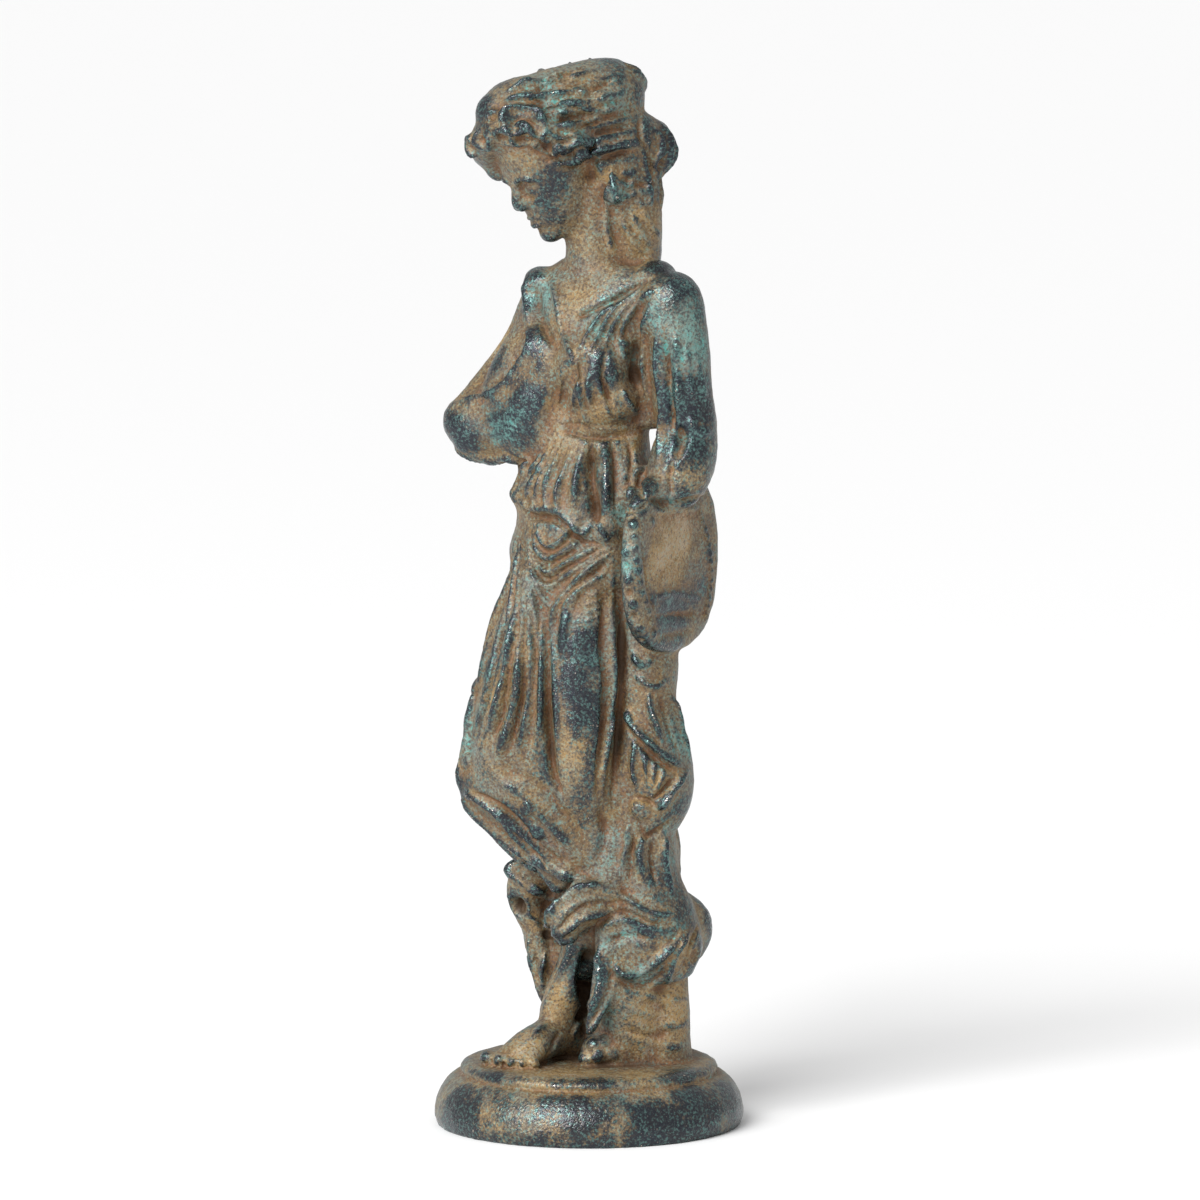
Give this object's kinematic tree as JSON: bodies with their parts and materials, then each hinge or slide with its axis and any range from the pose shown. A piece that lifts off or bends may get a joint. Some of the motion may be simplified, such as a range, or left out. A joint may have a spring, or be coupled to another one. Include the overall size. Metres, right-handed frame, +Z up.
{
  "type": "bronze female statuette",
  "caption": "Small cast bronze statuette of a draped woman with a tambourine, head bowed, on a stepped round plinth",
  "frame": {"origin": "centre of the plinth's underside", "axes": "+Z up along the figure, -Y the way the statue's body faces, +X to the statue's left, where it holds the tambourine"},
  "size_m": [0.0308, 0.0308, 0.1061],
  "materials": {
    "patinated_bronze": "cast bronze with an aged brown and blue-green patina"
  },
  "bodies": {
    "root": {"bronze_statue": "patinated_bronze"}
  },
  "joints": []
}
